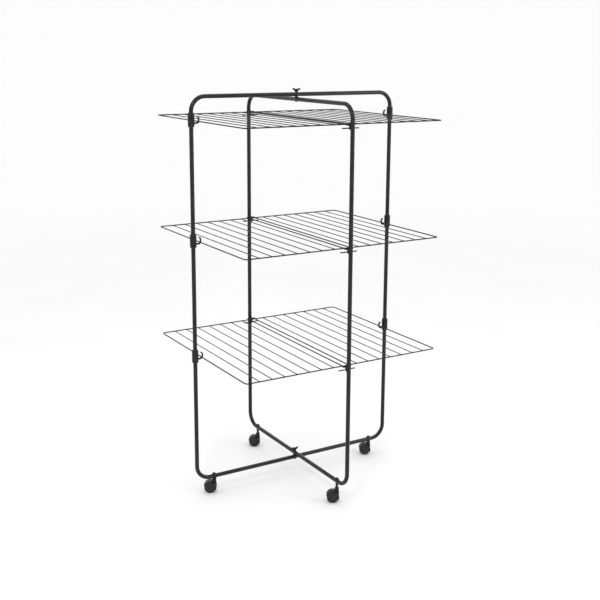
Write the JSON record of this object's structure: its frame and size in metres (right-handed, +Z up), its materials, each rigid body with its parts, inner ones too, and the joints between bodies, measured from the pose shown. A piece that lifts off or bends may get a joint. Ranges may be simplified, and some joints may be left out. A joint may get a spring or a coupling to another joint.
{
  "type": "clothes drying rack",
  "caption": "Folding tower airer: two crossed tube loops on a vertical pivot carry hinged wire half shelves on hooks, and it rolls on twin-wheel casters.",
  "frame": {"origin": "on the floor, under the vertical pivot axis, at the middle of the footprint", "axes": "+Z up along the pivot axis, +X towards the right hook clips, +Y towards the back hinge brackets"},
  "size_m": [0.7972, 0.6934, 1.3768],
  "materials": {
    "coated_steel": "black powder coat, satin",
    "zinc_steel": "black zinc plated steel",
    "black_plastic": "black moulded plastic, fine texture",
    "wheel_plastic": "black moulded nylon"
  },
  "bodies": {
    "inner_frame": {"inner_frame_upper_tube": "coated_steel", "inner_frame_lower_tube": "coated_steel", "top_pivot_bolt": "zinc_steel", "bottom_pivot_bolt": "zinc_steel", "top_pivot_spacer": "black_plastic", "bottom_pivot_spacer": "black_plastic", "hinge_bracket_bottom_front": "black_plastic", "stop_wire_bottom_front": "coated_steel", "hinge_bracket_bottom_back": "black_plastic", "stop_wire_bottom_back": "coated_steel", "hinge_bracket_middle_front": "black_plastic", "stop_wire_middle_front": "coated_steel", "hinge_bracket_middle_back": "black_plastic", "stop_wire_middle_back": "coated_steel", "hinge_bracket_top_front": "black_plastic", "stop_wire_top_front": "coated_steel", "hinge_bracket_top_back": "black_plastic", "stop_wire_top_back": "coated_steel", "caster_stem_front": "zinc_steel", "stem_cap_front": "black_plastic", "caster_stem_back": "zinc_steel", "stem_cap_back": "black_plastic"},
    "outer_frame": {"outer_frame_upper_tube": "coated_steel", "outer_frame_lower_tube": "coated_steel", "hook_clip_bottom_left": "black_plastic", "hook_clip_bottom_right": "black_plastic", "hook_clip_middle_left": "black_plastic", "hook_clip_middle_right": "black_plastic", "hook_clip_top_left": "black_plastic", "hook_clip_top_right": "black_plastic", "caster_stem_left": "zinc_steel", "stem_cap_left": "black_plastic", "caster_stem_right": "zinc_steel", "stem_cap_right": "black_plastic"},
    "shelf_bottom_left": {"shelf_bottom_left": "coated_steel"},
    "shelf_bottom_right": {"shelf_bottom_right": "coated_steel"},
    "shelf_middle_left": {"shelf_middle_left": "coated_steel"},
    "shelf_middle_right": {"shelf_middle_right": "coated_steel"},
    "shelf_top_left": {"shelf_top_left": "coated_steel"},
    "shelf_top_right": {"shelf_top_right": "coated_steel"},
    "top_wing_nut": {"top_wing_nut": "black_plastic"},
    "bottom_wing_nut": {"bottom_wing_nut": "black_plastic"},
    "caster_left": {"caster_housing_left": "black_plastic", "wheel_axle_left": "zinc_steel"},
    "wheel_a_left": {"caster_wheel_a_left": "wheel_plastic"},
    "wheel_b_left": {"caster_wheel_b_left": "wheel_plastic"},
    "caster_right": {"caster_housing_right": "black_plastic", "wheel_axle_right": "zinc_steel"},
    "wheel_a_right": {"caster_wheel_a_right": "wheel_plastic"},
    "wheel_b_right": {"caster_wheel_b_right": "wheel_plastic"},
    "caster_front": {"caster_housing_front": "black_plastic", "wheel_axle_front": "zinc_steel"},
    "wheel_a_front": {"caster_wheel_a_front": "wheel_plastic"},
    "wheel_b_front": {"caster_wheel_b_front": "wheel_plastic"},
    "caster_back": {"caster_housing_back": "black_plastic", "wheel_axle_back": "zinc_steel"},
    "wheel_a_back": {"caster_wheel_a_back": "wheel_plastic"},
    "wheel_b_back": {"caster_wheel_b_back": "wheel_plastic"}
  },
  "joints": [
    {"name": "frame_fold", "type": "hinge", "parent": "inner_frame", "child": "outer_frame", "pos_m": [0, 0, 0.7], "axis": [0, 0, -1], "range_deg": [0, 76]},
    {"name": "shelf_bottom_left_hinge", "type": "hinge", "parent": "inner_frame", "child": "shelf_bottom_left", "pos_m": [-0.012, 0, 0.496], "axis": [0, -1, 0], "range_deg": [0, 90]},
    {"name": "shelf_bottom_right_hinge", "type": "hinge", "parent": "inner_frame", "child": "shelf_bottom_right", "pos_m": [0.012, 0, 0.496], "axis": [0, 1, 0], "range_deg": [0, 90]},
    {"name": "shelf_middle_left_hinge", "type": "hinge", "parent": "inner_frame", "child": "shelf_middle_left", "pos_m": [-0.012, 0, 0.887], "axis": [0, -1, 0], "range_deg": [0, 90]},
    {"name": "shelf_middle_right_hinge", "type": "hinge", "parent": "inner_frame", "child": "shelf_middle_right", "pos_m": [0.012, 0, 0.887], "axis": [0, 1, 0], "range_deg": [0, 90]},
    {"name": "shelf_top_left_hinge", "type": "hinge", "parent": "inner_frame", "child": "shelf_top_left", "pos_m": [-0.012, 0, 1.278], "axis": [0, -1, 0], "range_deg": [0, 90]},
    {"name": "shelf_top_right_hinge", "type": "hinge", "parent": "inner_frame", "child": "shelf_top_right", "pos_m": [0.012, 0, 1.278], "axis": [0, 1, 0], "range_deg": [0, 90]},
    {"name": "top_wing_nut_turn", "type": "hinge", "parent": "inner_frame", "child": "top_wing_nut", "pos_m": [0, 0, 1.3633], "axis": [0, 0, 1], "range_deg": [0, 360]},
    {"name": "bottom_wing_nut_turn", "type": "hinge", "parent": "inner_frame", "child": "bottom_wing_nut", "pos_m": [0, 0, 0.0823], "axis": [0, 0, 1], "range_deg": [0, 360]},
    {"name": "swivel_left", "type": "hinge", "parent": "outer_frame", "child": "caster_left", "pos_m": [-0.324, 0, 0.044], "axis": [0, 0, 1], "continuous": true},
    {"name": "roll_a_left", "type": "hinge", "parent": "caster_left", "child": "wheel_a_left", "pos_m": [-0.336, 0.00721, 0.0195], "axis": [0.515, 0.8572, 0], "continuous": true},
    {"name": "roll_b_left", "type": "hinge", "parent": "caster_left", "child": "wheel_b_left", "pos_m": [-0.336, 0.00721, 0.0195], "axis": [0.515, 0.8572, 0], "continuous": true},
    {"name": "swivel_right", "type": "hinge", "parent": "outer_frame", "child": "caster_right", "pos_m": [0.324, 0, 0.044], "axis": [0, 0, 1], "continuous": true},
    {"name": "roll_a_right", "type": "hinge", "parent": "caster_right", "child": "wheel_a_right", "pos_m": [0.312, 0.00721, 0.0195], "axis": [0.515, 0.8572, 0], "continuous": true},
    {"name": "roll_b_right", "type": "hinge", "parent": "caster_right", "child": "wheel_b_right", "pos_m": [0.312, 0.00721, 0.0195], "axis": [0.515, 0.8572, 0], "continuous": true},
    {"name": "swivel_front", "type": "hinge", "parent": "inner_frame", "child": "caster_front", "pos_m": [0, -0.279, 0.044], "axis": [0, 0, 1], "continuous": true},
    {"name": "roll_a_front", "type": "hinge", "parent": "caster_front", "child": "wheel_a_front", "pos_m": [-0.012, -0.27179, 0.0195], "axis": [0.515, 0.8572, 0], "continuous": true},
    {"name": "roll_b_front", "type": "hinge", "parent": "caster_front", "child": "wheel_b_front", "pos_m": [-0.012, -0.27179, 0.0195], "axis": [0.515, 0.8572, 0], "continuous": true},
    {"name": "swivel_back", "type": "hinge", "parent": "inner_frame", "child": "caster_back", "pos_m": [0, 0.279, 0.044], "axis": [0, 0, 1], "continuous": true},
    {"name": "roll_a_back", "type": "hinge", "parent": "caster_back", "child": "wheel_a_back", "pos_m": [-0.012, 0.28621, 0.0195], "axis": [0.515, 0.8572, 0], "continuous": true},
    {"name": "roll_b_back", "type": "hinge", "parent": "caster_back", "child": "wheel_b_back", "pos_m": [-0.012, 0.28621, 0.0195], "axis": [0.515, 0.8572, 0], "continuous": true}
  ],
  "couplings": [
    {"joint": "shelf_bottom_left_hinge", "follows": "frame_fold", "ratio": 1.18},
    {"joint": "shelf_bottom_right_hinge", "follows": "frame_fold", "ratio": 1.18},
    {"joint": "shelf_middle_left_hinge", "follows": "frame_fold", "ratio": 1.18},
    {"joint": "shelf_middle_right_hinge", "follows": "frame_fold", "ratio": 1.18},
    {"joint": "shelf_top_left_hinge", "follows": "frame_fold", "ratio": 1.18},
    {"joint": "shelf_top_right_hinge", "follows": "frame_fold", "ratio": 1.18}
  ]
}
